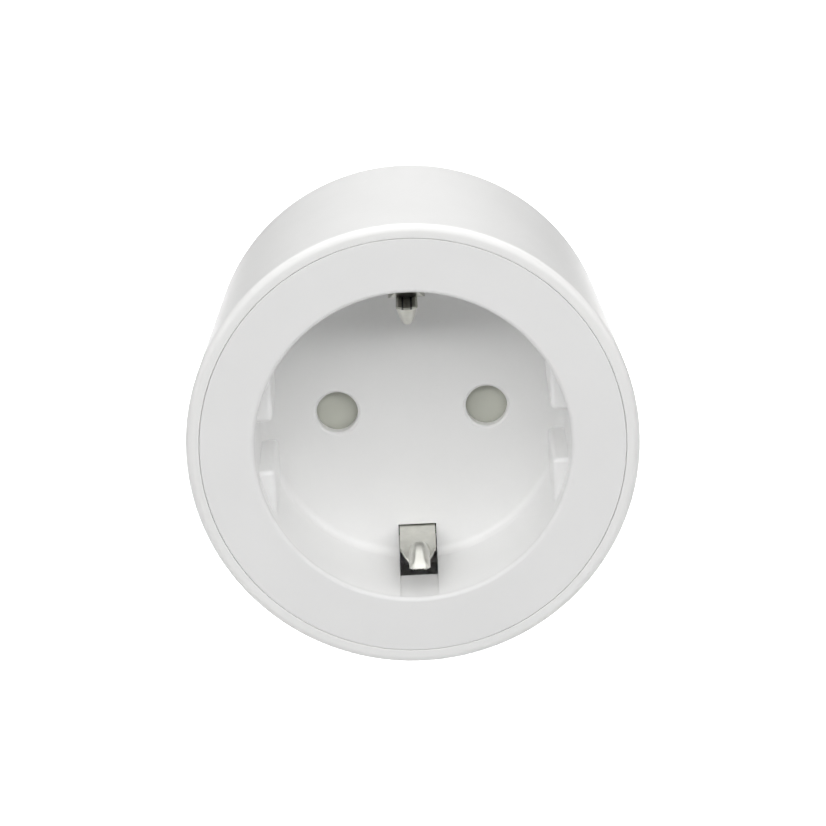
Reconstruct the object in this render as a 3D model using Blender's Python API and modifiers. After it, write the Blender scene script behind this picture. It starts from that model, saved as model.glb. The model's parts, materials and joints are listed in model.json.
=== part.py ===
"""Round plug-in power meter: a Schuko socket in front and a Schuko plug behind.

Everything is drawn in the wall frame: X to the right, Y up and Z out of the wall, with zero at
the centre of the plug's rear face. The empty wall_frame stands that frame up, so that the
socket faces -Y of the scene and +Z is up. All sizes are in metres.
"""

from math import cos, pi, radians, sin

import bmesh
import bpy
from mathutils import Matrix, Vector

# Body
BODY_FRONT = 0.063
BODY_BACK = 0.017
FRONT_RADIUS = 0.02807
REAR_RADIUS = 0.02605
WALL = 0.0022
GAP = 0.0003

# Socket in the front cover
RING_RADIUS = 0.02604
RING_THICKNESS = 0.0024
RECESS_RADIUS = 0.0195
RIM_ROUND = 0.00055
RECESS_FLOOR = 0.0455
FLOOR_THICKNESS = 0.0018
CUP_OUTER = 0.0213
CUP_BACK = RECESS_FLOOR - FLOOR_THICKNESS
PIN_OFFSET = 0.0095
HOLE_RADIUS = 0.00265
SLOT_HALF_WIDTH = 0.0025
SLOT_START = 0.0152
SLOT_TOP = 0.0526
GUIDE_FLAT = 0.0172
GUIDE_GAP_HALF = 0.00315
GUIDE_TOP = 0.060
SNAP_LOW = 0.0565

# Plug
PLUG_RADIUS = 0.0185
PLUG_BORE = 0.0152
PLUG_FACE = 0.0025
FLANGE_RADIUS = 0.0229
FLANGE_LOW = 0.0203
FLANGE_TOP = 0.0223
PIN_RADIUS = 0.0024
PIN_LENGTH = 0.019
EARTH_PIN_Y = 0.010

# Layers behind the socket
BOARD_LOW = 0.0226
BOARD_TOP = 0.0242
PARTS_LOW = BOARD_TOP + GAP
CONTACT_TOP = 0.0396
CARRIER_LOW = 0.0399
CARRIER_TOP = 0.0415
SHUTTER_LOW = CARRIER_TOP + GAP
SHUTTER_TOP = CUP_BACK - GAP
STRAP_Z = 0.0387
STRAP_THICKNESS = 0.0008

# Moving pieces
CLIP_PIVOT_Y = 0.01585
CLIP_PIVOT_Z = 0.0418
BUTTON_Z = 0.0295
BUTTON_RADIUS = 0.0035
LIGHT_X = 0.0085

# Fastenings
BOARD_SCREW_CIRCLE = 0.0207
BOARD_SCREW_ANGLE = radians(75)
CARRIER_SCREW_X = 0.0165

BIG_STEPS = 64
SMALL_STEPS = 24
TINY_STEPS = 16

ORIGIN = (0, 0, 0)
TOWARDS_MINUS_Y = (pi / 2, 0, 0)
TOWARDS_X = (0, pi / 2, 0)


def clear_scene():
    for old in list(bpy.data.objects):
        bpy.data.objects.remove(old, do_unlink=True)


def new_collection(name):
    collection = bpy.data.collections.new(name)
    bpy.context.scene.collection.children.link(collection)
    return collection


clear_scene()
PARTS = new_collection("power_meter")
CUTTERS = new_collection("cutters")
WALL_FRAME = bpy.data.objects.new("wall_frame", None)
WALL_FRAME.rotation_euler = (pi / 2, 0, 0)
PARTS.objects.link(WALL_FRAME)


def material(name, colour, roughness, metallic=0.0):
    made = bpy.data.materials.new(name)
    made.use_nodes = True
    shader = made.node_tree.nodes["Principled BSDF"]
    shader.inputs["Base Color"].default_value = (*colour, 1)
    shader.inputs["Roughness"].default_value = roughness
    shader.inputs["Metallic"].default_value = metallic
    return made


def add_object(name, mesh, look=None, place=ORIGIN, turn=ORIGIN):
    """A part of the meter, or a cutter if it is given no look."""
    obj = bpy.data.objects.new(name, mesh)
    (PARTS if look else CUTTERS).objects.link(obj)
    obj.parent = WALL_FRAME
    obj.location = place
    obj.rotation_euler = turn
    if look:
        mesh.materials.append(look)
    else:
        obj.hide_render = True
        obj.display_type = "WIRE"
    return obj


def arc(centre_r, centre_z, radius, start, end, steps=4):
    """Points (r, z) of an arc, angles in degrees from the +r direction."""
    angles = [radians(start + (end - start) * i / steps) for i in range(steps + 1)]
    return [(centre_r + radius * cos(a), centre_z + radius * sin(a)) for a in angles]


def turned(name, outline, look=None, closed=False, steps=SMALL_STEPS, place=ORIGIN, turn=ORIGIN):
    """A profile of (r, z) points turned about Z. Its outer side runs top to bottom."""
    mesh = bpy.data.meshes.new(name)
    last = len(outline) - 1
    edges = [(i, i + 1) for i in range(last)]
    if closed:
        edges.append((last, 0))
    mesh.from_pydata([(r, 0, z) for r, z in outline], edges, [])
    obj = add_object(name, mesh, look, place, turn)
    screw = obj.modifiers.new("turn", "SCREW")
    screw.steps = screw.render_steps = steps
    screw.use_merge_vertices = True
    screw.merge_threshold = 0.00001
    return obj


def rod(name, radius, low, high, look=None, steps=SMALL_STEPS, place=ORIGIN, turn=ORIGIN):
    """A cylinder along Z between two heights."""
    mesh = bpy.data.meshes.new(name)
    bm = bmesh.new()
    middle = Matrix.Translation((0, 0, (low + high) / 2))
    bmesh.ops.create_cone(
        bm, cap_ends=True, segments=steps, radius1=radius, radius2=radius, depth=high - low, matrix=middle
    )
    bm.to_mesh(mesh)
    bm.free()
    return add_object(name, mesh, look, place, turn)


def block(name, low, high, look=None, place=ORIGIN, turn=ORIGIN):
    """A box between two corners."""
    mesh = bpy.data.meshes.new(name)
    low, high = Vector(low), Vector(high)
    shape = Matrix.Translation((low + high) / 2) @ Matrix.Diagonal((*(high - low), 1))
    bm = bmesh.new()
    bmesh.ops.create_cube(bm, size=1, matrix=shape)
    bm.to_mesh(mesh)
    bm.free()
    return add_object(name, mesh, look, place, turn)


def sheet(name, path, width, thickness, look, place=ORIGIN, turn=ORIGIN):
    """Bent strip: a path of (y, z) points swept across the width in X, then thickened."""
    mesh = bpy.data.meshes.new(name)
    bm = bmesh.new()
    line = [bm.verts.new((-width / 2, y, z)) for y, z in path]
    edges = [bm.edges.new(pair) for pair in zip(line, line[1:])]
    swept = bmesh.ops.extrude_edge_only(bm, edges=edges)["geom"]
    moved = [item for item in swept if isinstance(item, bmesh.types.BMVert)]
    bmesh.ops.translate(bm, verts=moved, vec=(width, 0, 0))
    bmesh.ops.recalc_face_normals(bm, faces=bm.faces)
    bm.to_mesh(mesh)
    bm.free()
    obj = add_object(name, mesh, look, place, turn)
    solid = obj.modifiers.new("thickness", "SOLIDIFY")
    solid.thickness = thickness
    solid.offset = 0
    solid.use_even_offset = True
    return obj


def combine(obj, other, operation):
    step = obj.modifiers.new(other.name, "BOOLEAN")
    step.operation = operation
    step.object = other


def cut(obj, *cutters):
    for cutter in cutters:
        combine(obj, cutter, "DIFFERENCE")


def join(obj, *pieces):
    for piece in pieces:
        combine(obj, piece, "UNION")


def body_radius(z):
    """Outer radius of the tapered housing at a height above the plug's rear face."""
    share = (z - BODY_BACK) / (BODY_FRONT - BODY_BACK)
    return REAR_RADIUS + (FRONT_RADIUS - REAR_RADIUS) * share


WHITE = material("white_plastic", (0.86, 0.86, 0.85), 0.35)
REAR_WHITE = material("rear_plastic", (0.80, 0.80, 0.79), 0.4)
GREY_GREEN = material("shutter_plastic", (0.30, 0.30, 0.27), 0.45)
INNER_BLACK = material("inner_plastic", (0.05, 0.05, 0.05), 0.5)
NICKEL = material("nickel", (0.66, 0.65, 0.61), 0.25, 1.0)
BRASS = material("brass", (0.78, 0.62, 0.32), 0.3, 1.0)
STEEL = material("steel", (0.55, 0.55, 0.55), 0.35, 1.0)
BOARD_GREEN = material("board", (0.04, 0.22, 0.09), 0.45)
RELAY_BLUE = material("relay_plastic", (0.05, 0.12, 0.35), 0.4)
COPPER = material("copper", (0.75, 0.38, 0.22), 0.35, 1.0)
CAP_SLEEVE = material("capacitor_sleeve", (0.03, 0.03, 0.04), 0.35)
VARISTOR_BLUE = material("varistor_coat", (0.02, 0.15, 0.45), 0.4)
RESISTOR_GREEN = material("resistor_coat", (0.25, 0.40, 0.33), 0.6)
CLEAR = material("light_guide", (0.85, 0.88, 0.90), 0.1)


def front_cover():
    """Face ring, socket cup, guide blocks and the four snap legs."""
    rim = arc(RECESS_RADIUS + RIM_ROUND, BODY_FRONT - RIM_ROUND, RIM_ROUND, 180, 90)
    ring_low = BODY_FRONT - RING_THICKNESS
    outline = [
        (0, RECESS_FLOOR),
        (RECESS_RADIUS, RECESS_FLOOR),
        *rim,
        (RING_RADIUS, BODY_FRONT),
        (RING_RADIUS, ring_low),
        (CUP_OUTER, ring_low),
        (CUP_OUTER, CUP_BACK),
        (0, CUP_BACK),
    ]
    cover = turned("front_cover", outline, WHITE, steps=BIG_STEPS)
    for side, sx in (("left", -1), ("right", 1)):
        for level, sy in (("lower", -1), ("upper", 1)):
            guide = rod(f"guide_{side}_{level}", 0.0203, RECESS_FLOOR - 0.0006, GUIDE_TOP, steps=BIG_STEPS)
            x = sorted((sx * GUIDE_FLAT, sx * 0.025))
            y = sorted((sy * GUIDE_GAP_HALF, sy * 0.015))
            keep = block(f"guide_{side}_{level}_part", (x[0], y[0], 0.04), (x[1], y[1], 0.065))
            combine(guide, keep, "INTERSECT")
            join(cover, guide)
    for number in range(4):
        turn = (0, 0, radians(45 + 90 * number))
        leg_top = ring_low + 0.0004
        leg = block(f"leg_{number}", (0.0226, -0.0022, SNAP_LOW), (0.0240, 0.0022, leg_top), turn=turn)
        barb = block(f"barb_{number}", (0.0235, -0.0019, 0.0570), (0.0251, 0.0019, 0.0585), turn=turn)
        join(cover, leg, barb)
    for side, sx in (("left", -1), ("right", 1)):
        cut(cover, rod(f"contact_hole_{side}", HOLE_RADIUS, 0.04, 0.05, place=(sx * PIN_OFFSET, 0, 0)))
        screw_hole = rod(f"carrier_hole_{side}", 0.0012, 0.043, CUP_BACK + 0.0012, steps=TINY_STEPS)
        screw_hole.location.x = sx * CARRIER_SCREW_X
        cut(cover, screw_hole)
    for level, sy in (("lower", -1), ("upper", 1)):
        half = SLOT_HALF_WIDTH
        y = sorted((sy * SLOT_START, sy * 0.022))
        slot = block(f"earth_slot_{level}", (-half, y[0], 0.043), (half, y[1], SLOT_TOP))
        y = sorted((sy * 0.018, sy * (RECESS_RADIUS + 0.0004)))
        groove = block(f"earth_groove_{level}", (-half, y[0], 0.05), (half, y[1], 0.0622))
        cut(cover, slot, groove)


def main_housing():
    """Tapered shell with a ledge for the cover's ring and an opening for the plug."""
    seam = RING_RADIUS + GAP
    edge = 0.00095
    foot = 0.0025
    ledge_top = BODY_FRONT - RING_THICKNESS - GAP
    ledge_low = ledge_top - 0.0015
    inner_back = 0.020
    outline = [
        (seam, BODY_FRONT),
        *arc(FRONT_RADIUS - edge, BODY_FRONT - edge, edge, 90, 0),
        *arc(REAR_RADIUS - foot, BODY_BACK + foot, foot, 0, -90),
        (PLUG_RADIUS + GAP, BODY_BACK),
        (PLUG_RADIUS + GAP, inner_back),
        (body_radius(inner_back) - WALL - 0.001, inner_back),
        (body_radius(inner_back) - WALL, inner_back + 0.001),
        (body_radius(ledge_low) - WALL, ledge_low),
        (0.0244, ledge_low),
        (0.0244, ledge_top),
        (seam, ledge_top),
    ]
    housing = turned("main_housing", outline, WHITE, closed=True, steps=BIG_STEPS)
    centre = (0, 0, BUTTON_Z)
    cut(housing, rod("button_hole", BUTTON_RADIUS + GAP, 0.022, 0.028, place=centre, turn=TOWARDS_MINUS_Y))
    centre = (LIGHT_X, 0, BUTTON_Z)
    hole = rod("light_hole", 0.0015, 0.020, 0.028, steps=TINY_STEPS, place=centre, turn=TOWARDS_MINUS_Y)
    cut(housing, hole)
    for level, x, y in board_screw_places():
        place = (x, y, 0)
        cut(housing, rod(f"housing_hole_{level}", 0.0014, 0.0182, 0.021, steps=TINY_STEPS, place=place))


def board_screw_places():
    x = BOARD_SCREW_CIRCLE * cos(BOARD_SCREW_ANGLE)
    y = BOARD_SCREW_CIRCLE * sin(BOARD_SCREW_ANGLE)
    return (("upper", x, y), ("lower", -x, -y))


def plug_body():
    """The plug: a cup with a flange that the housing's rear wall and the board clamp."""
    edge = 0.0008
    outline = [
        (0, PLUG_FACE),
        (PLUG_BORE, PLUG_FACE),
        (PLUG_BORE, FLANGE_TOP),
        (FLANGE_RADIUS, FLANGE_TOP),
        (FLANGE_RADIUS, FLANGE_LOW),
        (PLUG_RADIUS, FLANGE_LOW),
        *arc(PLUG_RADIUS - edge, edge, edge, 0, -90, 3),
        (0, 0),
    ]
    plug = turned("plug_body", outline, REAR_WHITE, steps=BIG_STEPS)
    for side, sx in (("left", -1), ("right", 1)):
        cut(plug, rod(f"pin_hole_{side}", PIN_RADIUS + GAP, -0.001, 0.004, place=(sx * PIN_OFFSET, 0, 0)))
        x = sorted((sx * 0.0170, sx * 0.020))
        cut(plug, block(f"side_flat_{side}", (x[0], -0.012, -0.001), (x[1], 0.012, 0.0155)))
    cut(plug, rod("earth_pin_hole", 0.0026, -0.001, 0.004, place=(0, EARTH_PIN_Y, 0)))
    for level, sy in (("lower", -1), ("upper", 1)):
        y = sorted((sy * 0.0166, sy * 0.020))
        cut(plug, block(f"earth_recess_{level}", (-0.0035, y[0], -0.001), (0.0035, y[1], 0.0150)))
        y = sorted((sy * 0.0140, sy * 0.0170))
        cut(plug, block(f"earth_way_{level}", (-0.0028, y[0], 0.0129), (0.0028, y[1], 0.0149)))
    for level, x, y in board_screw_places():
        cut(plug, rod(f"flange_hole_{level}", 0.0014, 0.020, 0.023, steps=TINY_STEPS, place=(x, y, 0)))


def pin(name, x):
    """Solid pin with a domed tip, a collar behind the plug's face and a stem to the board."""
    collar_low = PLUG_FACE + GAP
    collar_top = collar_low + 0.0015
    outline = [
        (0, 0.0240),
        (0.0015, 0.0240),
        (0.0015, collar_top),
        (0.0032, collar_top),
        (0.0032, collar_low),
        (PIN_RADIUS, collar_low),
        *arc(0, PIN_RADIUS - PIN_LENGTH, PIN_RADIUS, 0, -90, 5)[:-1],
        (0, -PIN_LENGTH),
    ]
    turned(name, outline, NICKEL, place=(x, 0, 0))


def earth_sleeve():
    """Sleeve that takes the earth pin of a French socket, with a tab towards the earth strip."""
    outline = [(0.0023, 0.014), (0.0029, 0.014), (0.0029, 0.0028), (0.0023, 0.0028)]
    sleeve = turned("earth_sleeve", outline, NICKEL, closed=True, place=(0, EARTH_PIN_Y, 0))
    join(sleeve, block("earth_sleeve_tab", (-0.0015, 0.0126, 0.006), (0.0015, 0.0137, 0.013)))


def rear_earth_strip(level, sign):
    """Sprung strip in the plug's recess, led inside and on to the earth bridge."""
    path = [(0.0176, 0.0012), (0.0180, 0.0045), (0.0180, 0.0070), (0.0174, 0.0115), (0.0173, 0.0137)]
    path += [(0.0143, 0.0141), (0.0143, 0.0380)]
    sheet(f"rear_earth_strip_{level}", [(sign * y, z) for y, z in path], 0.005, 0.0006, NICKEL)


def earth_bridge():
    """Flat strap behind the contact carrier, with ends turned up to the earth clips."""
    end_y = CLIP_PIVOT_Y
    path = [(-end_y, 0.0409), (-end_y, STRAP_Z), (end_y, STRAP_Z), (end_y, 0.0409)]
    sheet("earth_bridge", path, 0.0044, STRAP_THICKNESS, NICKEL)


def earth_clip(level, sign):
    """Sprung clip: a full-width leg through the floor slot, then a narrow nib that bows inwards."""
    path = [
        (0.01585, 0.0412),
        (0.01585, 0.0462),
        (0.0162, 0.0504),
        (0.0150, 0.0545),
        (0.0144, 0.0566),
        (0.0144, 0.0574),
        (0.0167, 0.0594),
    ]
    local = [(sign * (y - CLIP_PIVOT_Y), z - CLIP_PIVOT_Z) for y, z in path]
    place = (0, sign * CLIP_PIVOT_Y, CLIP_PIVOT_Z)
    clip = sheet(f"earth_clip_{level}", local, 0.0044, 0.0006, NICKEL, place=place)
    for side, sx in (("left", -1), ("right", 1)):
        x = sorted((sx * 0.00155, sx * 0.004))
        trim = block(f"clip_trim_{level}_{side}", (x[0], -0.006, 0.0092), (x[1], 0.006, 0.020), place=place)
        cut(clip, trim)


def socket_contact(name, x):
    """Tulip contact: a closed cup whose wall is slit into four leaves."""
    outline = [
        (0, 0.0259),
        (0.00245, 0.0259),
        (0.00245, CONTACT_TOP),
        (0.0033, CONTACT_TOP),
        (0.0033, PARTS_LOW),
        (0, PARTS_LOW),
    ]
    contact = turned(name, outline, BRASS, place=(x, 0, 0))
    cut(contact, block(f"{name}_slit_x", (x - 0.005, -0.0004, 0.028), (x + 0.005, 0.0004, 0.041)))
    cut(contact, block(f"{name}_slit_y", (x - 0.0004, -0.005, 0.028), (x + 0.0004, 0.005, 0.041)))


def contact_carrier():
    """Plate that closes the shutter's chamber and carries its pivot."""
    outline = [
        (0, 0.0434),
        (0.0016, 0.0434),
        (0.0016, CARRIER_TOP),
        (0.0206, CARRIER_TOP),
        (0.0206, CARRIER_LOW),
        (0, CARRIER_LOW),
    ]
    carrier = turned("contact_carrier", outline, INNER_BLACK, steps=48)
    for side, sx in (("left", -1), ("right", 1)):
        place = (sx * CARRIER_SCREW_X, 0, 0)
        join(carrier, rod(f"carrier_boss_{side}", 0.0022, CARRIER_TOP - 0.0004, 0.0434, place=place))
        cut(carrier, rod(f"carrier_way_{side}", 0.0029, 0.039, 0.043, place=(sx * PIN_OFFSET, 0, 0)))
        cut(carrier, rod(f"carrier_bore_{side}", 0.0012, 0.039, 0.045, steps=TINY_STEPS, place=place))
    for level, sy in (("lower", -1), ("upper", 1)):
        y = sorted((sy * 0.0146, sy * 0.024))
        cut(carrier, block(f"carrier_notch_{level}", (-0.0028, y[0], 0.039), (0.0028, y[1], 0.043)))


def shutter():
    """Two-armed shutter that turns on the carrier's pivot and covers both contact holes."""
    plate = rod("shutter", 0.0042, SHUTTER_LOW, SHUTTER_TOP, GREY_GREEN)
    join(plate, block("shutter_arms", (-0.013, -0.0033, SHUTTER_LOW), (0.013, 0.0033, SHUTTER_TOP)))
    cut(plate, rod("shutter_bore", 0.0017, 0.041, 0.045))


def shutter_spring():
    """Small coil that brings the shutter back, lying beside its upper arm."""
    turns, radius, wire, length = 6, 0.00055, 0.00012, 0.0060
    per_turn = 10
    curve = bpy.data.curves.new("shutter_spring", "CURVE")
    curve.dimensions = "3D"
    curve.bevel_depth = wire
    curve.bevel_resolution = 1
    curve.use_fill_caps = True
    line = curve.splines.new("POLY")
    count = turns * per_turn + 1
    line.points.add(count - 1)
    for i, point in enumerate(line.points):
        angle = 2 * pi * i / per_turn
        x = length * (i / (count - 1) - 0.5)
        point.co = (x, radius * cos(angle), radius * sin(angle), 1)
    spring = bpy.data.objects.new("shutter_spring", curve)
    PARTS.objects.link(spring)
    curve.materials.append(STEEL)
    spring.parent = WALL_FRAME
    spring.location = (-0.0002, 0.0083, (SHUTTER_LOW + SHUTTER_TOP) / 2)


def screw(name, x, y, head_low, head_height, head_radius, shank_radius, tip):
    """Screw driven towards the wall (tip below the head) or away from it, with a slotted head."""
    head_top = head_low + head_height
    if tip < head_low:
        outline = [(0, head_top), (head_radius, head_top), (head_radius, head_low), (shank_radius, head_low)]
        outline += [(shank_radius, tip + 0.0006), (0, tip)]
        slot = (head_top - 0.0005, head_top + 0.001)
    else:
        outline = [(0, tip), (shank_radius, tip - 0.0006), (shank_radius, head_top), (head_radius, head_top)]
        outline += [(head_radius, head_low), (0, head_low)]
        slot = (head_low - 0.001, head_low + 0.0005)
    made = turned(name, outline, STEEL, place=(x, y, 0))
    half = head_radius * 0.7
    cut(made, block(f"{name}_slot", (x - half, y - 0.0003, slot[0]), (x + half, y + 0.0003, slot[1])))


def main_board():
    board = rod("main_board", 0.0234, BOARD_LOW, BOARD_TOP, BOARD_GREEN, steps=BIG_STEPS)
    for side, sx in (("left", -1), ("right", 1)):
        cut(board, rod(f"board_hole_{side}", 0.0018, 0.022, 0.025, place=(sx * PIN_OFFSET, 0, 0)))
    for level, sy in (("lower", -1), ("upper", 1)):
        y = sorted((sy * 0.0136, sy * 0.0150))
        cut(board, block(f"board_slot_{level}", (-0.0028, y[0], 0.022), (0.0028, y[1], 0.025)))
    for level, x, y in board_screw_places():
        cut(board, rod(f"board_bore_{level}", 0.0014, 0.022, 0.025, steps=TINY_STEPS, place=(x, y, 0)))


def relay():
    """Power relay behind the board, between the two pins."""
    low, high = (-0.0060, -0.0123), (0.0060, 0.0057)
    block("relay_base", (*low, 0.0208), (*high, 0.0223), INNER_BLACK)
    case = block("relay_case", (*low, 0.0065), (*high, 0.0205), RELAY_BLUE)
    wall = 0.0008
    room_low = (low[0] + wall, low[1] + wall, 0.0065 + wall)
    cut(case, block("relay_room", room_low, (high[0] - wall, high[1] - wall, 0.022)))
    bobbin = [
        (0, 0.0203),
        (0.0040, 0.0203),
        (0.0040, 0.0195),
        (0.0036, 0.0195),
        (0.0036, 0.0098),
        (0.0040, 0.0098),
        (0.0040, 0.0090),
        (0, 0.0090),
    ]
    turned("relay_coil", bobbin, COPPER, place=(0, -0.0072, 0))
    block("relay_yoke", (-0.0035, -0.0026, 0.0086), (0.0035, -0.0018, 0.0203), STEEL)
    # the armature's origin is the edge of the yoke that it rocks on
    pivot = (0, -0.0022, 0.0083)
    block("relay_armature", (-0.0035, -0.0088, -0.0006), (0.0035, 0.0008, 0.0), STEEL, place=pivot)


def board_parts():
    """What stands on the front of the board."""
    low = PARTS_LOW
    sheet("metering_shunt", [(-0.006, low), (-0.006, 0.031), (0.006, 0.031), (0.006, low)], 0.003, 0.0008,
          COPPER, place=(0, -0.008, 0), turn=(0, 0, -pi / 2))
    block("metering_board", (-0.0065, 0.0065, low), (0.0065, 0.0075, 0.0365), BOARD_GREEN)
    block("metering_chip", (-0.0025, 0.0078, 0.028), (0.0025, 0.0090, 0.033), INNER_BLACK)
    block("radio_board", (-0.0152, 0.0055, low), (-0.0142, 0.0160, 0.0365), BOARD_GREEN)
    block("radio_shield", (-0.0173, 0.0070, 0.027), (-0.0155, 0.0145, 0.035), STEEL)
    can = [
        (0, 0.036),
        (0.0034, 0.036),
        (0.0040, 0.0354),
        (0.0040, 0.0258),
        (0.0037, 0.0255),
        (0.0040, 0.0252),
        (0.0040, low),
        (0, low),
    ]
    turned("filter_capacitor", can, CAP_SLEEVE, place=(-0.0145, -0.0090, 0))
    drum = [
        (0, 0.0330),
        (0.0042, 0.0330),
        (0.0042, 0.0318),
        (0.0034, 0.0318),
        (0.0034, 0.0257),
        (0.0042, 0.0257),
        (0.0042, low),
        (0, low),
    ]
    turned("supply_inductor", drum, COPPER, place=(0.0145, -0.0095, 0))
    rod("varistor", 0.0045, -0.0016, 0.0016, VARISTOR_BLUE, place=(0.0125, 0.0120, 0.0292), turn=TOWARDS_X)
    place = (-0.0025, 0.0190, 0.0264)
    rod("fuse_resistor", 0.0017, -0.0045, 0.0045, RESISTOR_GREEN, place=place, turn=TOWARDS_X)
    block("status_led", (LIGHT_X - 0.0012, -0.0202, low), (LIGHT_X + 0.0012, -0.0180, 0.0307), CLEAR)


def button_group():
    """Radial push button on the underside, its switch, and the light guide beside it."""
    base = block("tact_switch_base", (-0.003, -0.0195, PARTS_LOW), (0.003, -0.0165, 0.0330), INNER_BLACK)
    centre = (0, 0, BUTTON_Z)
    cut(base, rod("plunger_bore", 0.0018, 0.0182, 0.021, place=centre, turn=TOWARDS_MINUS_Y))
    plunger_low, plunger_top = 0.0190, 0.0211
    place = (0, -plunger_low, BUTTON_Z)
    travel_room = plunger_top - plunger_low
    rod("tact_switch_plunger", 0.0015, 0, travel_room, INNER_BLACK, place=place, turn=TOWARDS_MINUS_Y)
    stem_low = plunger_top + GAP
    profile = [
        (0, 0.0266),
        (0.0031, 0.0266),
        (BUTTON_RADIUS, 0.0262),
        (BUTTON_RADIUS, 0.0234),
        (0.0042, 0.0234),
        (0.0042, 0.0226),
        (0.0015, 0.0226),
        (0.0015, stem_low),
        (0, stem_low),
    ]
    local = [(r, z - stem_low) for r, z in profile]
    turned("power_button", local, WHITE, place=(0, -stem_low, BUTTON_Z), turn=TOWARDS_MINUS_Y)
    guide = [(0, 0.0246), (0.0012, 0.0246), (0.0012, 0.0214), (0.0018, 0.0214), (0.0018, 0.0206), (0, 0.0206)]
    turned("light_guide", guide, CLEAR, place=(LIGHT_X, 0, BUTTON_Z), turn=TOWARDS_MINUS_Y)


def bake_and_smooth():
    """Turns every part into a plain mesh with smooth round faces and sharp edges."""
    bpy.context.view_layer.update()
    graph = bpy.context.evaluated_depsgraph_get()
    meshes = {}
    for obj in PARTS.objects:
        if obj.type in ("MESH", "CURVE"):
            meshes[obj] = bpy.data.meshes.new_from_object(obj.evaluated_get(graph))
    for obj, mesh in meshes.items():
        bm = bmesh.new()
        bm.from_mesh(mesh)
        bmesh.ops.remove_doubles(bm, verts=bm.verts, dist=0.000002)
        bm.to_mesh(mesh)
        bm.free()
        mesh.shade_smooth()
        mesh.set_sharp_from_angle(angle=radians(35))
        baked = bpy.data.objects.new("baked", mesh)
        PARTS.objects.link(baked)
        baked.parent = obj.parent
        baked.matrix_local = obj.matrix_local
        name = obj.name
        bpy.data.objects.remove(obj)
        baked.name = name


front_cover()
main_housing()
plug_body()
pin("pin_left", -PIN_OFFSET)
pin("pin_right", PIN_OFFSET)
earth_sleeve()
for clip_level, clip_sign in (("top", 1), ("bottom", -1)):
    rear_earth_strip(clip_level, clip_sign)
    earth_clip(clip_level, clip_sign)
earth_bridge()
socket_contact("socket_contact_left", -PIN_OFFSET)
socket_contact("socket_contact_right", PIN_OFFSET)
contact_carrier()
shutter()
shutter_spring()
main_board()
for screw_level, screw_x, screw_y in board_screw_places():
    screw(f"board_screw_{screw_level}", screw_x, screw_y, PARTS_LOW, 0.0014, 0.0020, 0.0011, 0.0185)
for screw_side, screw_sign in (("left", -1), ("right", 1)):
    screw_x = screw_sign * CARRIER_SCREW_X
    screw(f"carrier_screw_{screw_side}", screw_x, 0, 0.0383, 0.0013, 0.0019, 0.0009, 0.0446)
relay()
board_parts()
button_group()
bake_and_smooth()
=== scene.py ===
"""Looks of the round plug-in power meter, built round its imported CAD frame.

Shapes are drawn in the wall frame, as the CAD is: X to the right, Y up, Z out of the wall, in
metres, with zero at the plug's rear face. in_row() stands each mesh up in the row frame, where
the socket faces -Y and +Z is up.
"""

import json
from math import cos, pi, radians, sin, sqrt

import bmesh
import bpy
from mathutils import Matrix, Vector


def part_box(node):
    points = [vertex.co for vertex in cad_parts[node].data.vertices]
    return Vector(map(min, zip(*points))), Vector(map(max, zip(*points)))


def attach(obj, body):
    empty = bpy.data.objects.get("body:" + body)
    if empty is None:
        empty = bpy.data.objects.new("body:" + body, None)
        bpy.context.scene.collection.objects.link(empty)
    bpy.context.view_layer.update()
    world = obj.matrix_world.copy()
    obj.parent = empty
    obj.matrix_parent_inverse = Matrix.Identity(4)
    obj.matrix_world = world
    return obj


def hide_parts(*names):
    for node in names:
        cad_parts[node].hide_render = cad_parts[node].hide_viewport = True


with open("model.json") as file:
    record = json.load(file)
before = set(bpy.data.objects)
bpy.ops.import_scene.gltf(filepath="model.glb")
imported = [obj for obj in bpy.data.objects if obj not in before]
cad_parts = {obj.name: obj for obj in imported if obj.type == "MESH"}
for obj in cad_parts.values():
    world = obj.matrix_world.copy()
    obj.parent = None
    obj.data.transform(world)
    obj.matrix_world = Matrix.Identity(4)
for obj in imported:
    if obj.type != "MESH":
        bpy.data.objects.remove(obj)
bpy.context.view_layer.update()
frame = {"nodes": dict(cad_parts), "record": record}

STEPS = 192
SMALL_STEPS = 64
ARC_STEPS = 6
STAND_UP = Matrix.Rotation(pi / 2, 4, "X")

# Driving sizes, read from the frame
FRONT = -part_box("main_housing")[0].y
BODY_BACK = -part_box("main_housing")[1].y
FRONT_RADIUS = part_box("main_housing")[1].x
REAR_RADIUS = 0.02605
RING_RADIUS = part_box("front_cover")[1].x
CUP_BACK = 0.0437
FLOOR = 0.0455
SEAM = RING_RADIUS + 0.0003
SEAM_WIDTH = 0.00004
PIN_OFFSET = (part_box("pin_right")[0].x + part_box("pin_right")[1].x) / 2
PIN_TIP = -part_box("pin_right")[1].y
CUP_OUTER = 0.0213
RECESS_RADIUS = 0.0195
RIM_ROUND = 0.00055
SLOT_HALF = 0.0024
SLOT_START = 0.0152
SLOT_TOP = 0.0526
GUIDE_FLAT = 0.0172
GUIDE_GAP_HALF = 0.00315
GUIDE_TOP = 0.060
HOLE_RADIUS = 0.00265
HOLE_FLARE = 0.0003
HOUSING_WALL = 0.0022
LEDGE_RADIUS = 0.0244
PLUG_RADIUS = 0.0185
PLUG_GAP = 0.0003
FLANGE_RADIUS = 0.0229
PIN_RADIUS = 0.0024
BUTTON_Z = 0.0295
LIGHT_X = 0.0085
# Dark sheets behind the earth slots: painted shade standing in for the dark inside the shell.
SHADE_SHEET_RADIUS = 0.0238
SHADE_SHEET_HALF_ANGLE = radians(22)

# Dust specks: cells to the metre, the size of a spot in cells, the share of cells that hold one
SPECKS = (260, 0.05, 0.006)
DUST = (0.35, 0.34, 0.32)
GRAIN_HEIGHT = 0.000006

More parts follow.
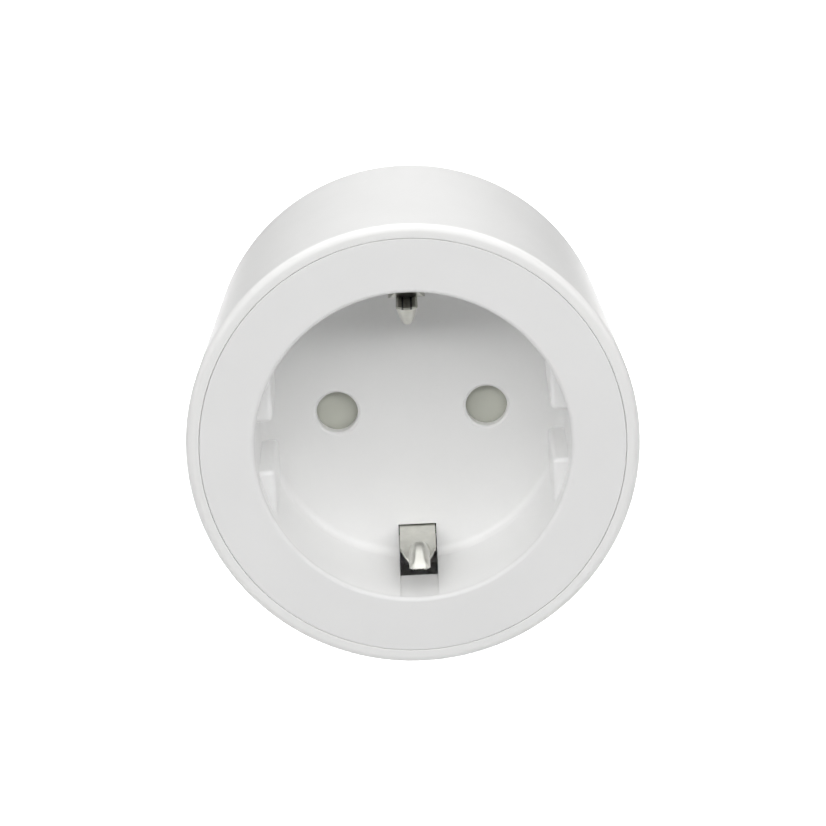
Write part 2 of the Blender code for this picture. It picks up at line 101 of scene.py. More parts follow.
# Lights, in watts. A front box has a lower and an upper edge above the face's centre, in metres.
WORLD_STRENGTH = 0.06
FRONT_BOXES = (("strip", 0.47, 0.56, 8.8), ("soft_box", 0.62, 1.5, 10), ("high_box", 1.5, 2.4, 15))
FRONT_BOX_WIDTH = 2.6
FRONT_BOX_AWAY = 1.0
TOP_POWER = 15.5
SIDE_POWER = 3.5
BACK_POWER = 8
FLOOR_POWER = 60
FLOOR_BELOW = 0.6

# Camera
LENS = 177.17
DISTANCE = 0.5
ELEVATION = radians(15.9)
AZIMUTH = radians(0.27)
ROLL = radians(2.65)
TILT = radians(0.482)


# ---------------------------------------------------------------- mesh helpers


def in_row(mesh):
    """Stands a mesh drawn in the wall frame up in the row frame."""
    mesh.transform(STAND_UP)
    return mesh


def soften(corners, steps=ARC_STEPS):
    """Corners (r, z, round) as an outline whose corners are rounded with arcs."""
    points = []
    for i, (x, y, rounding) in enumerate(corners):
        here = Vector((x, y))
        if not rounding:
            points.append(here)
            continue
        before = Vector(corners[i - 1][:2]) - here
        after = Vector(corners[(i + 1) % len(corners)][:2]) - here
        before.normalize()
        after.normalize()
        half = before.angle(after) / 2
        reach = rounding / abs(sin(half) / cos(half))
        centre = here + (before + after).normalized() * (rounding / sin(half))
        start = here + before * reach - centre
        end = here + after * reach - centre
        sweep = start.angle_signed(end)
        for k in range(steps + 1):
            angle = -sweep * k / steps
            turned = Vector((start.x * cos(angle) - start.y * sin(angle),
                             start.x * sin(angle) + start.y * cos(angle)))
            points.append(centre + turned)
    return points


def lathe(outline, steps=STEPS, closed=False):
    """A mesh turned about Z from an outline of (r, z) points."""
    bm = bmesh.new()
    line = [bm.verts.new((p[0], 0, p[1])) for p in outline]
    edges = [bm.edges.new(pair) for pair in zip(line, line[1:])]
    if closed:
        edges.append(bm.edges.new((line[-1], line[0])))
    bmesh.ops.spin(bm, geom=line + edges, axis=(0, 0, 1), cent=(0, 0, 0), angle=2 * pi, steps=steps,
                   use_merge=True)
    bmesh.ops.remove_doubles(bm, verts=bm.verts, dist=1e-7)
    bmesh.ops.recalc_face_normals(bm, faces=bm.faces)
    return as_mesh(bm)


def as_mesh(bm):
    """The bmesh as mesh data."""
    mesh = bpy.data.meshes.new("shape")
    bm.to_mesh(mesh)
    bm.free()
    return mesh


def rounded_box(low, high, rounding, segments=4):
    """A box with all its edges rounded."""
    low, high = Vector(low), Vector(high)
    bm = bmesh.new()
    shape = Matrix.Translation((low + high) / 2) @ Matrix.Diagonal((*(high - low), 1))
    bmesh.ops.create_cube(bm, size=1, matrix=shape)
    if rounding:
        bmesh.ops.bevel(bm, geom=bm.edges, offset=rounding, segments=segments, profile=0.5, affect="EDGES")
    return as_mesh(bm)


def placed(mesh, x, y=0):
    """The mesh moved across the wall."""
    mesh.transform(Matrix.Translation((x, y, 0)))
    return mesh


def carve(mesh, *steps):
    """The mesh after Boolean steps, each ("UNION" or "DIFFERENCE" or "INTERSECT", other mesh)."""
    body = bpy.data.objects.new("carved", mesh)
    bpy.context.scene.collection.objects.link(body)
    others = []
    for operation, other in steps:
        tool = bpy.data.objects.new("tool", other)
        bpy.context.scene.collection.objects.link(tool)
        others.append(tool)
        modifier = body.modifiers.new("step", "BOOLEAN")
        modifier.operation = operation
        modifier.object = tool
    bpy.context.view_layer.update()
    graph = bpy.context.evaluated_depsgraph_get()
    result = bpy.data.meshes.new_from_object(body.evaluated_get(graph))
    for obj in [body, *others]:
        bpy.data.objects.remove(obj)
    return result


def piece(name, mesh, look, body, *nodes, slot=None, sharp=32):
    """A finished piece in the row frame, riding on a body and standing for CAD nodes."""
    in_row(mesh)
    mesh.name = name
    mesh.materials.clear()
    mesh.materials.append(look)
    mesh.shade_smooth()
    mesh.set_sharp_from_angle(angle=radians(sharp))
    obj = bpy.data.objects.new(name, mesh)
    bpy.context.scene.collection.objects.link(obj)
    even = obj.modifiers.new("even_normals", "WEIGHTED_NORMAL")
    even.keep_sharp = True
    even.weight = 80
    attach(obj, body)
    if nodes:
        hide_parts(*nodes)
    return obj


def body_radius(z):
    """Outer radius of the tapered housing at a height above the plug's rear face."""
    share = (z - BODY_BACK) / (FRONT - BODY_BACK)
    return REAR_RADIUS + (FRONT_RADIUS - REAR_RADIUS) * share


# ---------------------------------------------------------------- materials


class Nodes:
    """Short calls to build a node tree."""

    def __init__(self, name):
        self.material = bpy.data.materials.new(name)
        self.material.use_nodes = True
        self.tree = self.material.node_tree
        self.shader = self.tree.nodes["Principled BSDF"]
        self.where = self.add("ShaderNodeTexCoord").outputs["Object"]

    def add(self, kind, **inputs):
        node = self.tree.nodes.new(kind)
        for name, value in inputs.items():
            socket = node.inputs[name.replace("_", " ")]
            if isinstance(value, bpy.types.NodeSocket):
                self.tree.links.new(value, socket)
            else:
                socket.default_value = value
        return node

    def link(self, out, name):
        self.tree.links.new(out, self.shader.inputs[name])

    def noise(self, scale, detail=3, where=None):
        node = self.add("ShaderNodeTexNoise", Scale=scale, Detail=detail)
        self.tree.links.new(where or self.where, node.inputs["Vector"])
        return node.outputs["Fac"]

    def remap(self, value, low, high, to_low, to_high):
        node = self.add("ShaderNodeMapRange", Value=value)
        for name, number in zip(("From Min", "From Max", "To Min", "To Max"), (low, high, to_low, to_high)):
            node.inputs[name].default_value = number
        return node.outputs["Result"]

    def math(self, operation, *values):
        node = self.tree.nodes.new("ShaderNodeMath")
        node.operation = operation
        for socket, value in zip(node.inputs, values):
            self.tree.links.new(value, socket)
        return node.outputs["Value"]

    def blend(self, factor, first, second):
        node = self.tree.nodes.new("ShaderNodeMix")
        node.data_type = "RGBA"
        self.tree.links.new(factor, node.inputs["Factor"])
        for socket, value in ((node.inputs[6], first), (node.inputs[7], second)):
            if isinstance(value, bpy.types.NodeSocket):
                self.tree.links.new(value, socket)
            else:
                socket.default_value = (*value, 1)
        return node.outputs[2]

    def bump(self, height, distance, strength, normal=None):
        node = self.add("ShaderNodeBump", Height=height, Distance=distance, Strength=strength)
        if normal:
            self.tree.links.new(normal, node.inputs["Normal"])
        return node.outputs["Normal"]

    def specks(self, scale, size, share):
        """Sparse spots: 1 inside a spot, 0 elsewhere. Only a share of the cells holds one."""
        cells = self.add("ShaderNodeTexVoronoi", Scale=scale)
        self.tree.links.new(self.where, cells.inputs["Vector"])
        spot = self.remap(cells.outputs["Distance"], size, size * 0.6, 0, 1)
        pick = self.add("ShaderNodeSeparateColor", Color=cells.outputs["Color"]).outputs["Red"]
        chosen = self.remap(pick, 1 - share, 1 - share + 0.001, 0, 1)
        return self.math("MULTIPLY", spot, chosen)

    def grain(self, height, edge):
        """Spark-eroded grain over edges that are softened by a small radius."""
        softened = self.add("ShaderNodeBevel", Radius=edge)
        softened.samples = 4
        self.link(self.bump(self.noise(5200, 2), height, 0.35, softened.outputs["Normal"]), "Normal")


def moulded_plastic(name, colour, roughness=0.36, dust=True, shine=0.5):
    """Injection-moulded plastic: faint clouding, spark-eroded grain, softened edges, a little dust."""
    n = Nodes(name)
    cloud = n.noise(60, 2)
    shade = tuple(c * 0.975 for c in colour)
    tone = n.blend(n.remap(cloud, 0.35, 0.65, 0, 1), shade, colour)
    if dust:
        tone = n.blend(n.remap(n.specks(*SPECKS), 0, 1, 0, 0.5), tone, DUST)
    n.link(tone, "Base Color")
    n.link(n.remap(n.noise(900, 3), 0.3, 0.7, roughness - 0.04, roughness + 0.05), "Roughness")
    n.grain(GRAIN_HEIGHT, 0.00012)
    n.shader.inputs["IOR"].default_value = 1.5
    n.shader.inputs["Specular IOR Level"].default_value = shine
    return n.material


def cover_plastic():
    """The cover's plastic: a spark-eroded matt face round a polished socket cup whose tone is painted
    brighter than the face, as painted light that lifts the shade in the recess.
    """
    n = Nodes("cover_plastic")
    height = n.add("ShaderNodeSeparateXYZ", Vector=n.where).outputs["Y"]
    inside = n.remap(height, 0.0005 - FRONT, 0.0011 - FRONT, 0, 1)
    cloud = n.remap(n.noise(60, 2), 0.35, 0.65, 0, 1)
    face = n.blend(cloud, (0.825, 0.825, 0.82), (0.84, 0.84, 0.835))
    # Brighter tone in the cup: painted light, lifting the shade inside the recess.
    cup = n.blend(cloud, (0.91, 0.91, 0.905), (0.93, 0.93, 0.925))
    spots = n.remap(n.specks(*SPECKS), 0, 1, 0, 0.07)
    n.link(n.blend(spots, n.blend(inside, face, cup), DUST), "Base Color")
    n.link(n.remap(inside, 0, 1, 0.44, 0.31), "Roughness")
    n.grain(GRAIN_HEIGHT, 0.0001)
    n.shader.inputs["IOR"].default_value = 1.5
    return n.material


def plated_metal(name, colour, roughness, along=(1, 1, 1)):
    """Plated or drawn metal: fine drawing lines, clouded tone and faint tarnish."""
    n = Nodes(name)
    stretch = n.add("ShaderNodeMapping", Vector=n.where)
    stretch.inputs["Scale"].default_value = along
    lines = n.noise(4000, 2, where=stretch.outputs["Vector"])
    cloud = n.noise(500, 3)
    dark = tuple(c * 0.82 for c in colour)
    n.link(n.blend(n.remap(cloud, 0.3, 0.7, 0, 1), dark, colour), "Base Color")
    n.link(n.remap(lines, 0.3, 0.7, roughness - 0.06, roughness + 0.1), "Roughness")
    n.link(n.bump(lines, 0.000008, 0.3), "Normal")
    n.shader.inputs["Metallic"].default_value = 1.0
    return n.material


def fold_metal():
    """The inside of the pressed nib: dull metal with a painted shade line down each fold."""
    n = Nodes("fold_shade")
    # Dark lines along the folds: painted shade in the creases of the pressed sheet.
    across = n.add("ShaderNodeSeparateXYZ", Vector=n.where).outputs["X"]
    away = n.math("ABSOLUTE", across)
    rise = n.remap(away, 0.00036, 0.00050, 0, 1)
    fall = n.remap(away, 0.00056, 0.00070, 1, 0)
    line = n.math("MULTIPLY", rise, fall)
    cloud = n.remap(n.noise(900, 3), 0.35, 0.65, 0, 1)
    dull = n.blend(cloud, (0.30, 0.30, 0.26), (0.38, 0.38, 0.34))
    n.link(n.blend(line, dull, (0.02, 0.02, 0.018)), "Base Color")
    n.shader.inputs["Roughness"].default_value = 0.5
    return n.material


def circuit_board(name):
    """Green solder mask over copper tracks, with tinned pads."""
    n = Nodes(name)
    tracks = n.add("ShaderNodeTexVoronoi", Scale=420)
    tracks.distance = "CHEBYCHEV"
    tracks.feature = "F1"
    n.tree.links.new(n.where, tracks.inputs["Vector"])
    edge = n.remap(tracks.outputs["Distance"], 0.38, 0.42, 0, 1)
    mask = n.blend(edge, (0.01, 0.12, 0.04), (0.02, 0.22, 0.08))
    pads = n.specks(500, 0.22, 0.35)
    n.link(n.blend(pads, mask, (0.62, 0.61, 0.57)), "Base Color")
    n.link(pads, "Metallic")
    n.link(n.remap(n.noise(1500, 2), 0.3, 0.7, 0.3, 0.42), "Roughness")
    return n.material


def wound_copper(name):
    """Turns of enamelled wire side by side."""
    n = Nodes(name)
    wave = n.add("ShaderNodeTexWave", Scale=900, Distortion=0.4)
    wave.bands_direction = "Y"
    n.tree.links.new(n.where, wave.inputs["Vector"])
    # Each turn is darker where it meets the next: painted shade in the gaps between turns.
    n.link(n.blend(wave.outputs["Fac"], (0.22, 0.07, 0.03), (0.72, 0.34, 0.18)), "Base Color")
    n.link(n.bump(wave.outputs["Fac"], 0.0001, 0.8), "Normal")
    n.shader.inputs["Metallic"].default_value = 0.8
    n.shader.inputs["Roughness"].default_value = 0.3
    return n.material


WHITE = moulded_plastic("white_plastic", (0.88, 0.88, 0.87))
COVER_WHITE = cover_plastic()
REAR_WHITE = moulded_plastic("rear_plastic", (0.83, 0.83, 0.82), 0.45)
SHUTTER_GREY = moulded_plastic("shutter_plastic", (0.62, 0.63, 0.56), 0.5, dust=False)
# Near-black plastic for the inner parts, also used for the painted shade sheet behind the bottom earth
# slot.
BLACK_PLASTIC_AND_SHADE = moulded_plastic("inner_plastic", (0.004, 0.004, 0.004), 0.75, dust=False, shine=0.1)
# Dark grey painted shade sheet behind the top earth slot.
SHADE_SHEET_GREY = moulded_plastic("painted_shade_grey", (0.12, 0.12, 0.10), 0.5, dust=False)
FOLD_SHADE = fold_metal()
NICKEL = plated_metal("nickel", (0.72, 0.72, 0.67), 0.34)
PIN_NICKEL = plated_metal("pin_nickel", (0.74, 0.73, 0.70), 0.22, (1, 0.08, 1))
STEEL = plated_metal("steel", (0.56, 0.56, 0.56), 0.35)
BRASS = plated_metal("brass", (0.80, 0.62, 0.30), 0.3)
LOOKS = {
    "white_plastic": WHITE,
    "rear_plastic": REAR_WHITE,
    "shutter_plastic": SHUTTER_GREY,
    "inner_plastic": BLACK_PLASTIC_AND_SHADE,
    "nickel": NICKEL,
    "brass": BRASS,
    "steel": STEEL,
    "board": circuit_board("board"),
    "relay_plastic": moulded_plastic("relay_plastic", (0.03, 0.09, 0.32), 0.4, dust=False),
    "copper": wound_copper("copper"),
    "capacitor_sleeve": moulded_plastic("capacitor_sleeve", (0.02, 0.02, 0.03), 0.3, dust=False),
    "varistor_coat": moulded_plastic("varistor_coat", (0.02, 0.13, 0.42), 0.35, dust=False),
    "resistor_coat": moulded_plastic("resistor_coat", (0.22, 0.38, 0.30), 0.6, dust=False),
    "clear_plastic": moulded_plastic("clear_plastic", (0.80, 0.84, 0.86), 0.15, dust=False),
}


# ---------------------------------------------------------------- pieces


def facing_down(x):
    """Turns a lathed shape to point out of the housing's underside, on the button's level."""
    return Matrix.Translation((x, 0, BUTTON_Z)) @ Matrix.Rotation(pi / 2, 4, "X")


def housing():
    """Tapered shell: rounded front lip, rounded foot, ledge and rear wall."""
    ledge, shoulder = 0.020, 0.0588
    inner = HOUSING_WALL
    corners = [
        (SEAM, FRONT, 0.0001),
        (FRONT_RADIUS, FRONT, 0.00095),
        (REAR_RADIUS, BODY_BACK, 0.0025),
        (PLUG_RADIUS + PLUG_GAP, BODY_BACK, 0.0002),
        (PLUG_RADIUS + PLUG_GAP, ledge, 0),
        (body_radius(ledge) - inner - 0.001, ledge, 0),
        (body_radius(ledge) - inner, ledge + 0.001, 0),
        (body_radius(shoulder) - inner, shoulder, 0),
        (LEDGE_RADIUS, shoulder, 0),
        (LEDGE_RADIUS, 0.0603, 0),
        (SEAM, 0.0603, 0),
    ]
    shell = lathe(soften(corners, 8), closed=True)
    button = lathe(soften([(0, 0.028, 0), (0.0042, 0.028, 0), (0.0042, 0.02665, 0.0), (0.0038, 0.0262, 0),
                           (0.0038, 0.022, 0), (0, 0.022, 0)]), SMALL_STEPS)
    light = lathe([(0, 0.028), (0.0015, 0.028), (0.0015, 0.020), (0, 0.020)], SMALL_STEPS)
    button.transform(facing_down(0))
    light.transform(facing_down(LIGHT_X))
    shell = carve(shell, ("DIFFERENCE", button), ("DIFFERENCE", light))
    piece("housing_shell", shell, WHITE, "meter_body", "main_housing", slot="white_plastic")


def guide_block(sx, sy):
    """One of the four blocks at the sides of the recess, cut to its round wall."""
    x = sorted((sx * GUIDE_FLAT, sx * 0.0215))
    y = sorted((sy * GUIDE_GAP_HALF, sy * 0.012))
    block = rounded_box((x[0], y[0], 0.0440), (x[1], y[1], GUIDE_TOP), 0.0006, 5)
    inside = lathe([(0, 0.061), (0.0203, 0.061), (0.0203, 0.0448), (0, 0.0448)])
    return carve(block, ("INTERSECT", inside))


def cover():
    """Face ring, socket cup, guide blocks, contact holes and earth slots."""
    ring_low = 0.0606
    corners = [
        (0, FLOOR, 0),
        (RECESS_RADIUS, FLOOR, 0.0012),
        (RECESS_RADIUS, FRONT, RIM_ROUND),
        (SEAM - SEAM_WIDTH, FRONT, 0.0001),
        (SEAM - SEAM_WIDTH, ring_low, 0),
        (CUP_OUTER, ring_low, 0),
        (CUP_OUTER, CUP_BACK, 0),
        (0, CUP_BACK, 0),
    ]
    shell = lathe(soften(corners, 8))
    steps = [("UNION", guide_block(sx, sy)) for sx in (-1, 1) for sy in (-1, 1)]
    wide = HOLE_RADIUS + HOLE_FLARE
    hole = [(0, FLOOR + 0.001, 0), (wide, FLOOR + 0.001, 0), (wide, FLOOR, 0),
            (HOLE_RADIUS, FLOOR - HOLE_FLARE, 0), (HOLE_RADIUS, 0.042, 0), (0, 0.042, 0)]
    for sx in (-1, 1):
        steps.append(("DIFFERENCE", placed(lathe(soften(hole), SMALL_STEPS), sx * PIN_OFFSET)))
    for sy in (-1, 1):
        y = sorted((sy * SLOT_START, sy * 0.023))
        slot = rounded_box((-SLOT_HALF, y[0], 0.043), (SLOT_HALF, y[1], SLOT_TOP), 0)
        steps.append(("DIFFERENCE", slot))
        y = sorted((sy * 0.017, sy * (RECESS_RADIUS + 0.0003)))
        groove = rounded_box((-SLOT_HALF, y[0], 0.050), (SLOT_HALF, y[1], FRONT - 0.0009), 0)
        steps.append(("DIFFERENCE", groove))
    shell = carve(shell, *steps)
    piece("cover_face", shell, COVER_WHITE, "meter_body", "front_cover", slot="white_plastic")


def painted_shade_sheets():
    """Dark sheets inside the shell behind each earth slot: painted shade that keeps the slots dark."""
    # Dark grey behind the top slot and black behind the bottom one: painted shade.
    for level, sy, look in (("top", 1, SHADE_SHEET_GREY), ("bottom", -1, BLACK_PLASTIC_AND_SHADE)):
        bm = bmesh.new()
        count = 16
        rows = []
        for k in range(count + 1):
            angle = pi / 2 * sy + SHADE_SHEET_HALF_ANGLE * (2 * k / count - 1)
            x, y = SHADE_SHEET_RADIUS * cos(angle), SHADE_SHEET_RADIUS * sin(angle)
            rows.append([bm.verts.new((x, y, z)) for z in (0.0425, 0.0555)])
        for a, b in zip(rows, rows[1:]):
            bm.faces.new((a[0], b[0], b[1], a[1]))
        bmesh.ops.recalc_face_normals(bm, faces=bm.faces)
        bmesh.ops.solidify(bm, geom=bm.faces, thickness=0.0003)
        piece(f"painted_shade_sheet_{level}", as_mesh(bm), look, "meter_body")


def smooth_line(points, count):
    """Points read from a smooth curve through the given ones."""
    line = [Vector(p) for p in points]
    line = [line[0] * 2 - line[1], *line, line[-1] * 2 - line[-2]]
    spans = len(line) - 3
    out = []
    for k in range(count + 1):
        place = spans * k / count
        i = min(int(place), spans - 1)
        t = place - i
        a, b, c, d = line[i:i + 4]
        out.append(0.5 * (2 * b + (c - a) * t + (2 * a - 5 * b + 4 * c - d) * t * t
                          + (3 * b - a - 3 * c + d) * t ** 3))
    return out


def grid_sheet(rows, thickness):
    """A sheet from rows of points, thickened to both sides."""
    bm = bmesh.new()
    verts = [[bm.verts.new(p) for p in row] for row in rows]
    for a, b in zip(verts, verts[1:]):
        for k in range(len(a) - 1):
            bm.faces.new((a[k], a[k + 1], b[k + 1], b[k]))
    bmesh.ops.recalc_face_normals(bm, faces=bm.faces)
    mesh = as_mesh(bm)
    obj = bpy.data.objects.new("sheet", mesh)
    bpy.context.scene.collection.objects.link(obj)
    solid = obj.modifiers.new("thick", "SOLIDIFY")
    solid.thickness = thickness
    solid.offset = 0
    bpy.context.view_layer.update()
    done = bpy.data.meshes.new_from_object(obj.evaluated_get(bpy.context.evaluated_depsgraph_get()))
    bpy.data.objects.remove(obj)
    return done


def clip_plate(level, sy):
    """The clip's spring: a plate out of the floor slot whose round end curls away from the plug."""
    path = smooth_line([(0.0155, 0.0413), (0.0156, 0.0455), (0.0160, 0.0492), (0.0166, 0.0521),
                        (0.0172, 0.0532), (0.0178, 0.0537), (0.0183, 0.0539)], 42)
    half_width, end_half, across = 0.00228, 0.00205, 8
    round_start, round_end = 0.0521, 0.0541
    rows = []
    for point in path:
        share = max(0.0, (point.y - round_start) / (round_end - round_start))
        half = half_width if share == 0 else end_half * sqrt(max(0.02, 1 - share ** 2))
        rows.append([(half * t / across, sy * point.x, point.y) for t in range(-across, across + 1)])
    piece(f"earth_clip_{level}_plate", grid_sheet(rows, 0.0005), NICKEL, f"clip_{level}",
          f"earth_clip_{level}", slot="nickel", sharp=50)


def clip_nib(level, sy, shift, half_width, power, tip):
    """The clip's pressed nib: a ridge whose flanks fall away by a power of the way across."""
    count, across = 64, 24
    ridge = smooth_line([(0.0164, 0.0499), (0.0159, 0.0518), (0.0151, 0.0542), (0.0144, 0.0562),
                         (0.0142, 0.0570), (0.0147, 0.0577), (0.0158, 0.0586), (tip, 0.0593)], count)
    chamfer, chamfer_share = 0.00042, 0.09
    rows = []
    for k, point in enumerate(ridge):
        s = k / count
        base = 0.0165 + (tip - 0.0164) * s
        depth = max(0.0, base - point.x)
        half = half_width * min(1.0, 0.6 + 3.2 * s)
        half -= chamfer * max(0.0, 1 - (1 - s) / chamfer_share)
        row = []
        for t in range(-across, across + 1):
            u = t / across
            row.append((shift + half * u, sy * (point.x + depth * abs(u) ** power), point.y))
        rows.append(row)
    nib = piece(f"earth_clip_{level}_nib", grid_sheet(rows, 0.0003), NICKEL, f"clip_{level}", slot="nickel",
                sharp=50)
    # Faces turned away from the axis take the fold material with its painted shade lines.
    nib.data.materials.append(FOLD_SHADE)
    for face in nib.data.polygons:
        if face.normal.z * sy > 0.05:
            face.material_index = 1


def plug_hole(radius, flare):
    """Cutter for a blind hole in the plug's rear face, flared at its mouth."""
    outline = [(0, 0.006), (radius, 0.006), (radius, flare), (radius + flare, 0), (radius + flare, -0.002),
               (0, -0.002)]
    return lathe(outline, SMALL_STEPS)


def plug():
    """Plug body with rounded rear edge, flats, recesses for the earth strips and its three holes."""
    corners = [
        (0, 0.0025, 0),
        (0.0152, 0.0025, 0.0005),
        (0.0152, 0.0223, 0),
        (FLANGE_RADIUS, 0.0223, 0),
        (FLANGE_RADIUS, 0.0203, 0),
        (PLUG_RADIUS, 0.0203, 0),
        (PLUG_RADIUS, 0, 0.0008),
        (0, 0, 0),
    ]
    shell = lathe(soften(corners, 8))
    steps = []
    for sx in (-1, 1):
        x = sorted((sx * 0.0170, sx * 0.021))
        steps.append(("DIFFERENCE", rounded_box((x[0], -0.012, -0.002), (x[1], 0.012, 0.0155), 0.0004)))
        steps.append(("DIFFERENCE", placed(plug_hole(PIN_RADIUS + 0.0003, 0.0003), sx * PIN_OFFSET)))
    steps.append(("DIFFERENCE", placed(plug_hole(0.0026, 0.0005), 0, 0.010)))
    for sy in (-1, 1):
        y = sorted((sy * 0.0166, sy * 0.021))
        steps.append(("DIFFERENCE", rounded_box((-0.0035, y[0], -0.002), (0.0035, y[1], 0.0150), 0.0003)))
        y = sorted((sy * 0.0140, sy * 0.0170))
        steps.append(("DIFFERENCE", rounded_box((-0.0028, y[0], 0.0129), (0.0028, y[1], 0.0149), 0)))
    piece("plug_shell", carve(shell, *steps), REAR_WHITE, "meter_body", "plug_body", slot="rear_plastic")


def plug_pins():
    """Solid pins with domed tips and a fine shoulder ring."""
    for side, sx in (("left", -1), ("right", 1)):
        corners = [
            (0, 0.0240, 0),
            (0.0015, 0.0240, 0),
            (0.0015, 0.0043, 0),
            (0.0032, 0.0043, 0),
            (0.0032, 0.0028, 0),
            (PIN_RADIUS, 0.0028, 0),
            (PIN_RADIUS, -0.0020, 0),
            (PIN_RADIUS - 0.00008, -0.0023, 0),
            (PIN_RADIUS, -0.0026, 0),
            (PIN_RADIUS, PIN_TIP, 0.0023),
            (0, PIN_TIP, 0),
        ]
        mesh = placed(lathe(soften(corners, 10), SMALL_STEPS), sx * PIN_OFFSET)
        piece(f"plug_pin_{side}", mesh, PIN_NICKEL, "meter_body", f"pin_{side}", slot="nickel", sharp=40)


def rear_strips():
    """Bowed earth strips in the plug's recesses, with rounded corners at their ends."""
    for level, sy in (("top", 1), ("bottom", -1)):
        outer = smooth_line([(0.0176, 0.0012), (0.0181, 0.0050), (0.0181, 0.0070), (0.0175, 0.0115),
                             (0.0173, 0.0134)], 30)
        bend = [Vector((0.0169, 0.0139)), Vector((0.0160, 0.01405)), Vector((0.0147, 0.0141)),
                Vector((0.0143, 0.0146)), Vector((0.0143, 0.0380))]
        half_width, across = 0.0025, 6
        rows = []
        for k, point in enumerate([*outer, *bend]):
            half = half_width * min(1.0, 0.80 + 0.1 * k)
            rows.append([(half * t / across, sy * point.x, point.y) for t in range(-across, across + 1)])
        piece(f"plug_earth_strip_{level}", grid_sheet(rows, 0.0006), PIN_NICKEL, "meter_body",
              f"rear_earth_strip_{level}", slot="nickel", sharp=40)


def shutter_plate():
    """Shutter with a softened outline: a round hub on a bar of arms, bored through the middle."""
    low, high = 0.0418, 0.0434
    hub = lathe(soften([(0, high, 0), (0.0042, high, 0.0002), (0.0042, low, 0), (0, low, 0)]), SMALL_STEPS)
    arms = rounded_box((-0.013, -0.0033, low), (0.013, 0.0033, high), 0.0003)
    bore = lathe([(0, 0.045), (0.0017, 0.045), (0.0017, 0.041), (0, 0.041)], SMALL_STEPS)
    shape = carve(arms, ("UNION", hub), ("DIFFERENCE", bore))
    piece("shutter_plate", shape, SHUTTER_GREY, "shutter", "shutter", slot="shutter_plastic")


def button():
    """Push button with a dished, rounded cap."""
    cap = [
        (0, 0.02645, 0),
        (0.0024, 0.02650, 0.004),
        (0.0035, 0.02665, 0.0004),
        (0.0035, 0.0234, 0),
        (0.0042, 0.0234, 0),
        (0.0042, 0.0226, 0),
        (0.0015, 0.0226, 0),
        (0.0015, 0.0214, 0),
        (0, 0.0214, 0),
    ]
    mesh = lathe(soften(cap), SMALL_STEPS)
    mesh.transform(facing_down(0))
    piece("button_cap", mesh, WHITE, "button", "power_button", slot="white_plastic")
    guide = [(0, 0.0246, 0), (0.0012, 0.0246, 0.0003), (0.0012, 0.0214, 0), (0.0018, 0.0214, 0),
             (0.0018, 0.0206, 0), (0, 0.0206, 0)]
    mesh = lathe(soften(guide), SMALL_STEPS)
    mesh.transform(facing_down(LIGHT_X))
    piece("light_rod", mesh, LOOKS["clear_plastic"], "meter_body", "light_guide", slot="clear_plastic")


def dress_cad_nodes():
    """Procedural materials on the CAD nodes that are kept."""
    slots = {row["node"]: row["material_slot"] for row in frame["record"]["subparts"]}
    for name, obj in frame["nodes"].items():
        obj.data.materials.clear()
        obj.data.materials.append(LOOKS[slots[name]])


# ---------------------------------------------------------------- stage, lights and camera


def aim(obj, place, target):
    """Puts a light or camera at a place, looking at a target."""
    look = (Vector(target) - Vector(place)).to_track_quat("-Z", "Y").to_matrix().to_4x4()
    obj.matrix_world = Matrix.Translation(place) @ look


def area_light(name, place, target, width, height, power):
    """A rectangular soft box, in metres and watts."""
    data = bpy.data.lights.new(name, "AREA")
    data.shape = "RECTANGLE"
    data.size, data.size_y = width, height
    data.energy = power
    obj = bpy.data.objects.new(name, data)
    bpy.context.scene.collection.objects.link(obj)
    aim(obj, place, target)


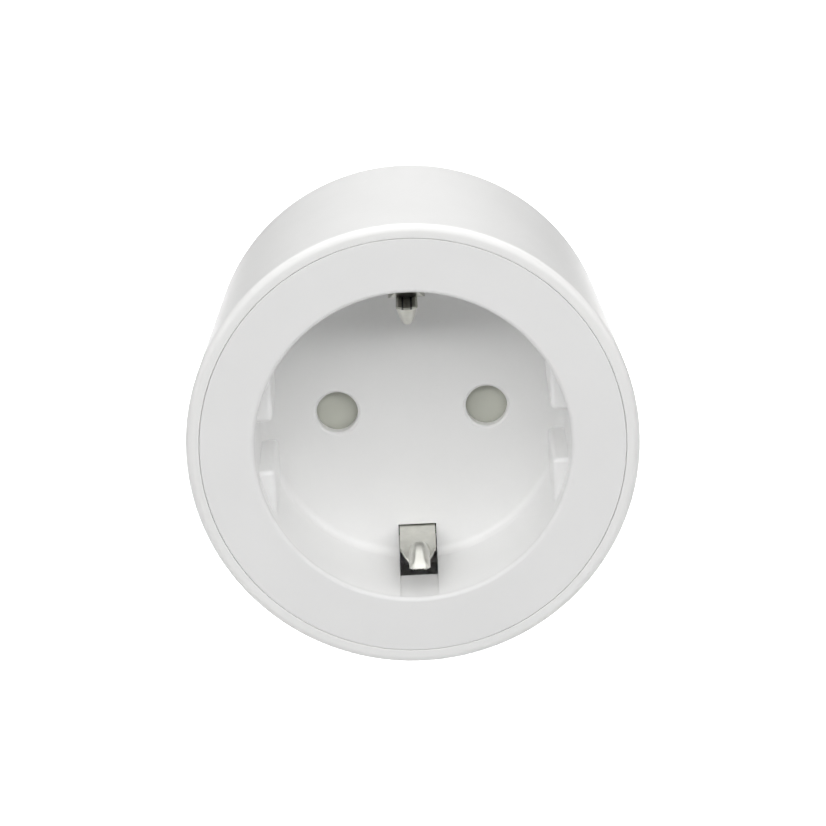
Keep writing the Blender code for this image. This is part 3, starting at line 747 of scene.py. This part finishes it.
def studio():
    """White floor far below in dim surroundings, lit by boxes in front, above, beside and behind."""
    scene = bpy.context.scene
    scene.view_settings.view_transform = "Standard"
    world = bpy.data.worlds.new("studio")
    world.use_nodes = True
    world.node_tree.nodes["Background"].inputs["Color"].default_value = (1, 1, 1, 1)
    world.node_tree.nodes["Background"].inputs["Strength"].default_value = WORLD_STRENGTH
    scene.world = world

    bm = bmesh.new()
    bmesh.ops.create_grid(bm, x_segments=1, y_segments=1, size=6)
    floor = bpy.data.objects.new("studio_floor", as_mesh(bm))
    bpy.context.scene.collection.objects.link(floor)
    floor.location.z = -FLOOR_BELOW
    paper = Nodes("paper")
    paper.link(paper.blend(paper.noise(3, 2), (0.93, 0.93, 0.93), (0.95, 0.95, 0.95)), "Base Color")
    paper.shader.inputs["Roughness"].default_value = 0.9
    floor.data.materials.append(paper.material)

    for side, x in (("left", -0.9), ("right", 0.9)):
        below = Vector((x, 2.4, -0.25))
        area_light(f"floor_light_{side}", below, below - Vector((0, 0, 1)), 1.6, 3.6, FLOOR_POWER)

    face = Vector((0, -FRONT, 0))
    for name, low, high, power in FRONT_BOXES:
        centre = face + Vector((0, -FRONT_BOX_AWAY, (low + high) / 2))
        area_light(name, centre, centre + Vector((0, 1, 0)), FRONT_BOX_WIDTH, high - low, power)
    area_light("top_box", Vector((0, 0.2, 1.5)), Vector((0, 0, 0)), 1.8, 1.0, TOP_POWER)
    for side, x in (("left", -1.5), ("right", 1.5)):
        area_light(f"side_box_{side}", face + Vector((x, -0.75, 0.45)), face, 0.8, 0.9, SIDE_POWER)
    area_light("back_box", Vector((0, 1.3, 1.0)), Vector((0, 0, 0)), 2.2, 1.0, BACK_POWER)


def camera():
    """Long lens in front and a little above, rolled as the photograph is."""
    face = Vector((0, -FRONT, 0))
    back = Vector((sin(AZIMUTH) * cos(ELEVATION), -cos(AZIMUTH) * cos(ELEVATION), sin(ELEVATION)))
    data = bpy.data.cameras.new("camera")
    data.sensor_width = 36
    data.lens = LENS
    obj = bpy.data.objects.new("camera", data)
    bpy.context.scene.collection.objects.link(obj)
    place = face + back * DISTANCE
    aim(obj, place, face)
    turned = obj.matrix_world.to_3x3() @ Matrix.Rotation(-ROLL, 3, "Z")
    tilt = Matrix.Rotation(TILT, 3, "X")
    obj.matrix_world = Matrix.Translation(place) @ (turned @ tilt).to_4x4()
    bpy.context.scene.camera = obj


housing()
cover()
painted_shade_sheets()
clip_plate("top", 1)
clip_nib("top", 1, shift=0, half_width=0.00120, power=2.3, tip=0.0166)
clip_plate("bottom", -1)
clip_nib("bottom", -1, shift=0.00015, half_width=0.00118, power=3.4, tip=0.0169)
plug()
plug_pins()
rear_strips()
shutter_plate()
button()
dress_cad_nodes()
studio()
camera()

bpy.context.view_layer.update()
